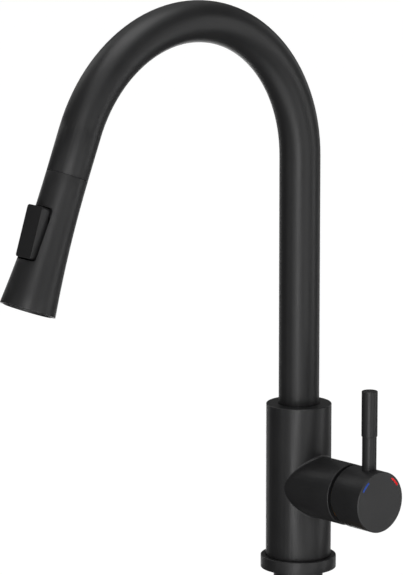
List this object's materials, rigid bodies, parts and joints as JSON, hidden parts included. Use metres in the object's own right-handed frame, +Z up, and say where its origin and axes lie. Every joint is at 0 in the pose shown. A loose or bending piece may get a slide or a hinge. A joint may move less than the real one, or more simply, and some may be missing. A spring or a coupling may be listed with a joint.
{
  "type": "pull-down faucet",
  "caption": "Gooseneck faucet with a pull-down spray head, a spray rocker, a side valve with a lever, and its under-deck mounting.",
  "frame": {"origin": "centre of the base ring's underside, on the deck's top face", "axes": "+Z up along the body, the spout reaches towards -Y, the handle stands out along +X"},
  "size_m": [0.109, 0.2859, 0.4995],
  "materials": {
    "black_coat": "matte powder coat",
    "dark_plastic": "moulded",
    "brass": "machined",
    "steel": "brushed",
    "rubber": "moulded",
    "white_plastic": "moulded",
    "ceramic": "lapped",
    "silicone": "moulded",
    "hose_braid": "woven nylon over a plastic tube",
    "cold_blue": "filled and flush",
    "hot_red": "filled and flush"
  },
  "bodies": {
    "valve_body": {"base_ring": "black_coat", "deck_seal": "rubber", "main_body": "black_coat", "valve_housing": "black_coat", "shank": "brass", "valve_manifold": "brass", "cartridge_seals": "rubber", "cartridge_housing": "white_plastic", "fixed_disc": "ceramic", "cartridge_nut": "brass", "upper_swivel_bush": "white_plastic", "lower_swivel_bush": "white_plastic"},
    "mounting_hardware": {"mounting_nut": "brass", "clamp_washer": "steel", "rubber_washer": "rubber", "nut_clamp_screws": "steel"},
    "spout": {"spout_tube": "black_coat", "swivel_sleeve": "brass", "retaining_clip": "steel", "docking_collar": "dark_plastic", "docking_magnet": "steel", "spray_hose": "hose_braid", "hose_connector": "brass", "connector_seal": "rubber"},
    "hose_end": {"hose_ferrule": "steel", "hose_stem": "brass", "stem_seal": "rubber"},
    "spray_head": {"spray_shell": "black_coat", "docking_nose": "dark_plastic", "keeper_ring": "steel", "stem_retainer": "steel", "waterway": "dark_plastic", "inlet_filter": "white_plastic", "check_valve": "white_plastic", "rocker_pin": "steel", "nozzle_mat": "silicone", "spray_plate": "dark_plastic", "aerator": "dark_plastic", "aerator_screen": "steel", "aerator_seal": "rubber", "outlet_ring": "dark_plastic"},
    "rocker": {"spray_rocker": "black_coat"},
    "diverter": {"diverter_plunger": "brass", "plunger_seals": "rubber"},
    "temperature_carrier": {"lever_carrier": "dark_plastic", "pivot_pin": "steel"},
    "flow_disc": {"disc_driver": "white_plastic", "moving_disc": "ceramic"},
    "handle": {"cartridge_stem": "steel", "handle_knob": "black_coat", "lever_rod": "black_coat", "lever_grip": "black_coat", "handle_set_screw": "steel", "set_screw_plug": "rubber", "cold_mark": "cold_blue", "hot_mark": "hot_red"}
  },
  "joints": [
    {"name": "spout_swivel", "type": "hinge", "parent": "valve_body", "child": "spout", "pos_m": [0, 0, 0.1], "axis": [0, 0, 1], "continuous": true},
    {"name": "hose_pull", "type": "slide", "parent": "spout", "child": "hose_end", "axis": [0, -0.3762, -0.9265], "range_m": [0, 0.45], "stiffness_N_per_m": 6, "springref_m": -0.8},
    {"name": "head_swivel", "type": "hinge", "parent": "hose_end", "child": "spray_head", "pos_m": [0, -0.21098, 0.289], "axis": [0, -0.3762, -0.9265], "continuous": true},
    {"name": "rocker_tilt", "type": "hinge", "parent": "spray_head", "child": "rocker", "pos_m": [0, -0.23499, 0.26389], "axis": [-1, 0, 0], "range_deg": [0, 10]},
    {"name": "diverter_travel", "type": "slide", "parent": "spray_head", "child": "diverter", "axis": [0, 0.9265, -0.3762], "range_m": [0, 0.002]},
    {"name": "temperature_turn", "type": "hinge", "parent": "valve_body", "child": "temperature_carrier", "pos_m": [0.04, 0, 0.0601], "axis": [1, 0, 0], "range_deg": [-45, 45]},
    {"name": "lever_lift", "type": "hinge", "parent": "temperature_carrier", "child": "handle", "pos_m": [0.04, 0, 0.0601], "axis": [0, 1, 0], "range_deg": [0, 20]},
    {"name": "disc_slide", "type": "slide", "parent": "temperature_carrier", "child": "flow_disc", "axis": [0, 0, 1], "range_m": [0, 0.0017]},
    {"name": "nut_travel", "type": "slide", "parent": "valve_body", "child": "mounting_hardware", "axis": [0, 0, 1], "range_m": [-0.028, 0.014]}
  ],
  "couplings": [
    {"joint": "diverter_travel", "follows": "rocker_tilt", "m_per_rad": 0.0103},
    {"joint": "disc_slide", "follows": "lever_lift", "m_per_rad": 0.0045}
  ]
}
